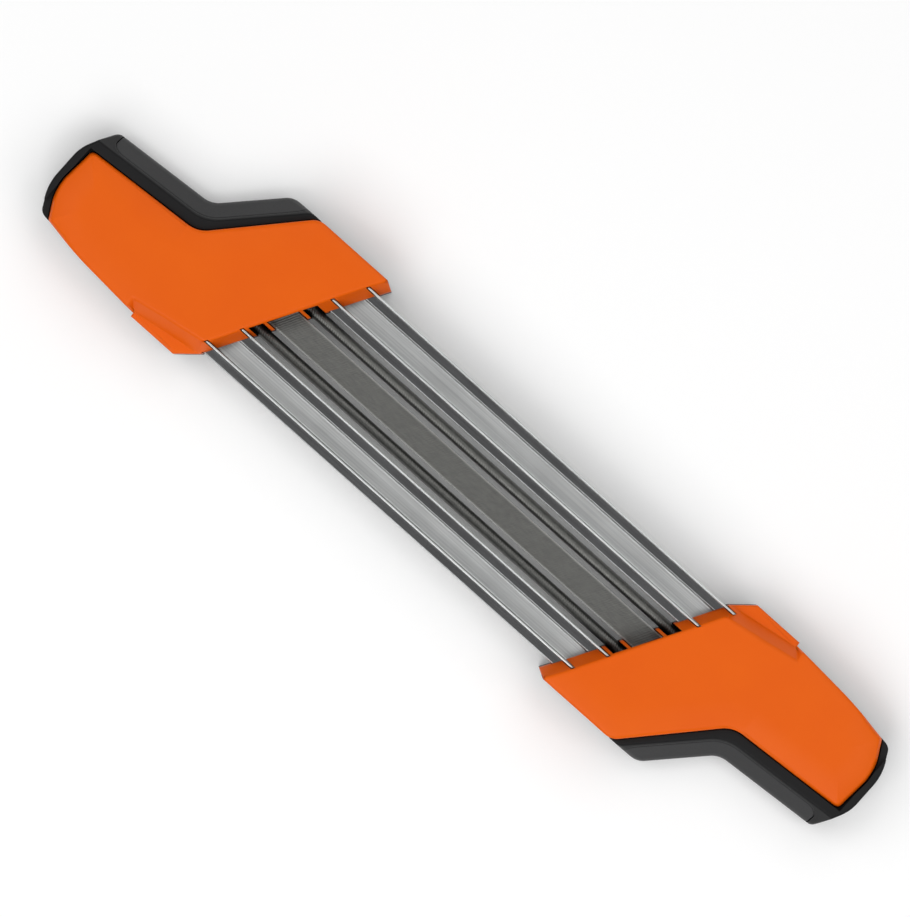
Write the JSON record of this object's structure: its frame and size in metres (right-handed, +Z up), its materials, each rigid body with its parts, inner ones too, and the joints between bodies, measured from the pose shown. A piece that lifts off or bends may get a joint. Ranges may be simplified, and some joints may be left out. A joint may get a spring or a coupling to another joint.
{
  "type": "chainsaw file guide",
  "caption": "Hand-held saw chain filing guide: angled handles with hinged covers, joined by guide rails that carry round files and a flat file between them.",
  "frame": {"origin": "centre of the tool in plan, on the plane that the two handle bases stand on", "axes": "+X along the files and rails, from handle a to handle b; +Z up, towards the orange covers; a half turn about Z swaps the handles, but the rails' fins and the slots over them stay on the ribs' edges towards +Y"},
  "size_m": [0.3504, 0.0696, 0.0255],
  "materials": {
    "orange_cover": "moulded, semi-gloss",
    "black_shell": "moulded, satin",
    "soft_grip": "soft, matt",
    "clamp_rubber": "matt",
    "rail_aluminium": "extruded, satin with bright edges",
    "file_steel": "dark, cut with teeth",
    "plated_steel": "zinc plated"
  },
  "bodies": {
    "frame": {"base_a": "black_shell", "base_b": "black_shell", "grip_a": "soft_grip", "grip_b": "soft_grip", "hinge_pin_a": "plated_steel", "hinge_pin_b": "plated_steel", "rail_screw_a1": "plated_steel", "rail_screw_a2": "plated_steel", "rail_screw_a3": "plated_steel", "rail_screw_a4": "plated_steel", "rail_screw_b1": "plated_steel", "rail_screw_b2": "plated_steel", "rail_screw_b3": "plated_steel", "rail_screw_b4": "plated_steel", "rail_left": "rail_aluminium", "rail_right": "rail_aluminium", "flat_file": "file_steel"},
    "lid_a": {"cover_a": "orange_cover", "clamp_pad_a": "clamp_rubber"},
    "lid_b": {"cover_b": "orange_cover", "clamp_pad_b": "clamp_rubber"},
    "round_left": {"round_file_left": "file_steel"},
    "round_right": {"round_file_right": "file_steel"}
  },
  "joints": [
    {"name": "cover_a_hinge", "type": "hinge", "parent": "frame", "child": "lid_a", "pos_m": [-0.1678, 0, 0.017], "axis": [0, -1, 0], "range_deg": [0, 90]},
    {"name": "cover_b_hinge", "type": "hinge", "parent": "frame", "child": "lid_b", "pos_m": [0.1678, 0, 0.017], "axis": [0, 1, 0], "range_deg": [0, 90]},
    {"name": "round_file_left_turn", "type": "hinge", "parent": "frame", "child": "round_left", "pos_m": [0, -0.0085, 0.0088], "axis": [1, 0, 0], "continuous": true},
    {"name": "round_file_right_turn", "type": "hinge", "parent": "frame", "child": "round_right", "pos_m": [0, 0.0085, 0.0088], "axis": [1, 0, 0], "continuous": true}
  ]
}
